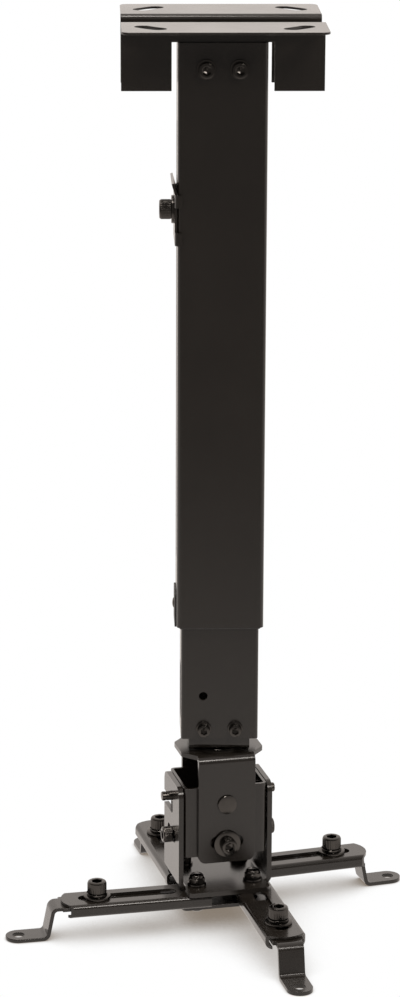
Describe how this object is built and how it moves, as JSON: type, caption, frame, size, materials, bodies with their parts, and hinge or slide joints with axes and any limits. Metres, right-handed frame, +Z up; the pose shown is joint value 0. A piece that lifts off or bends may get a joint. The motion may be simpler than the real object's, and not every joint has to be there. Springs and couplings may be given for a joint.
{
  "type": "projector ceiling mount",
  "caption": "Telescopic steel ceiling mount for a projector: slotted ceiling brackets, clamped drop tube, a swivelling and leaning head, and swinging arms with sliding feet.",
  "frame": {"origin": "middle of the ceiling face, on the axis of the tubes", "axes": "+Z up out of the ceiling face, -Y towards the front, +X to the right seen from the front"},
  "size_m": [0.2117, 0.2125, 0.472],
  "materials": {
    "powder_coat": "satin black powder coat",
    "black_screws": "black oxide, slightly glossy",
    "black_plastic": "matt moulded black"
  },
  "bodies": {
    "column": {"ceiling_bracket_front": "powder_coat", "ceiling_bracket_rear": "powder_coat", "outer_tube": "powder_coat", "bracket_bolts": "black_screws", "bracket_washers": "black_screws", "mouth_guide": "black_plastic", "guide_rivet": "black_screws"},
    "drop_tube": {"inner_tube": "powder_coat", "glide_sleeve": "black_plastic", "clamp_saddle": "powder_coat", "clamp_bolt": "black_screws", "clamp_washer": "black_screws", "clamp_nut": "black_screws", "tube_insert": "powder_coat", "insert_bolts": "black_screws", "insert_washers": "black_screws", "swivel_spacer": "black_screws"},
    "yoke": {"yoke": "powder_coat", "swivel_bolt": "black_screws", "swivel_nut": "black_screws"},
    "gimbal": {"gimbal_box": "powder_coat", "pivot_rivets": "black_screws", "roll_lock_bolts": "black_screws", "roll_lock_washers": "black_screws", "roll_lock_nuts": "black_screws", "tilt_studs": "black_screws", "tilt_lock_bolts": "black_screws", "tilt_lock_nuts": "black_screws"},
    "cradle": {"cradle": "powder_coat", "lower_plate": "powder_coat", "base_bolts": "black_screws", "base_washers": "black_screws", "base_nuts": "black_screws"},
    "arm_left": {"arm_left": "powder_coat"},
    "foot_left": {"foot_left": "powder_coat", "foot_screw_left": "black_screws", "foot_washers_left": "black_screws"},
    "arm_front": {"arm_front": "powder_coat"},
    "foot_front": {"foot_front": "powder_coat", "foot_screw_front": "black_screws", "foot_washers_front": "black_screws"},
    "arm_right": {"arm_right": "powder_coat"},
    "foot_right": {"foot_right": "powder_coat", "foot_screw_right": "black_screws", "foot_washers_right": "black_screws"},
    "arm_rear": {"arm_rear": "powder_coat"},
    "foot_rear": {"foot_rear": "powder_coat", "foot_screw_rear": "black_screws", "foot_washers_rear": "black_screws"}
  },
  "joints": [
    {"name": "drop_slide", "type": "slide", "parent": "column", "child": "drop_tube", "axis": [0, 0, -1], "range_m": [-0.042, 0.178]},
    {"name": "head_swivel", "type": "hinge", "parent": "drop_tube", "child": "yoke", "pos_m": [0, 0, -0.405], "axis": [0, 0, 1], "continuous": true},
    {"name": "head_roll", "type": "hinge", "parent": "yoke", "child": "gimbal", "pos_m": [0, 0, -0.405], "axis": [-0.2079, 0.9781, 0], "range_deg": [-15, 15]},
    {"name": "head_tilt", "type": "hinge", "parent": "gimbal", "child": "cradle", "pos_m": [0, 0, -0.405], "axis": [0.9781, 0.2079, 0], "range_deg": [-15, 15]},
    {"name": "left_arm_swing", "type": "hinge", "parent": "cradle", "child": "arm_left", "pos_m": [-0.01155, -0.01779, -0.4525], "axis": [0, 0, 1], "range_deg": [-28.6, 31.4]},
    {"name": "left_foot_slide", "type": "slide", "parent": "arm_left", "child": "foot_left", "axis": [-0.9829, -0.184, 0], "range_m": [-0.0145, 0.0065]},
    {"name": "front_arm_swing", "type": "hinge", "parent": "cradle", "child": "arm_front", "pos_m": [0.01779, -0.01155, -0.4525], "axis": [0, 0, 1], "range_deg": [-30, 30]},
    {"name": "front_foot_slide", "type": "slide", "parent": "arm_front", "child": "foot_front", "axis": [0.2079, -0.9781, 0], "range_m": [-0.0145, 0.0065]},
    {"name": "right_arm_swing", "type": "hinge", "parent": "cradle", "child": "arm_right", "pos_m": [0.01155, 0.01779, -0.4525], "axis": [0, 0, 1], "range_deg": [-34, 26]},
    {"name": "right_foot_slide", "type": "slide", "parent": "arm_right", "child": "foot_right", "axis": [0.9613, 0.2756, 0], "range_m": [-0.0055, 0.0065]},
    {"name": "rear_arm_swing", "type": "hinge", "parent": "cradle", "child": "arm_rear", "pos_m": [-0.01779, 0.01155, -0.4525], "axis": [0, 0, 1], "range_deg": [-30.5, 29.5]},
    {"name": "rear_foot_slide", "type": "slide", "parent": "arm_rear", "child": "foot_rear", "axis": [-0.2164, 0.9763, 0], "range_m": [-0.0055, 0.0065]}
  ]
}
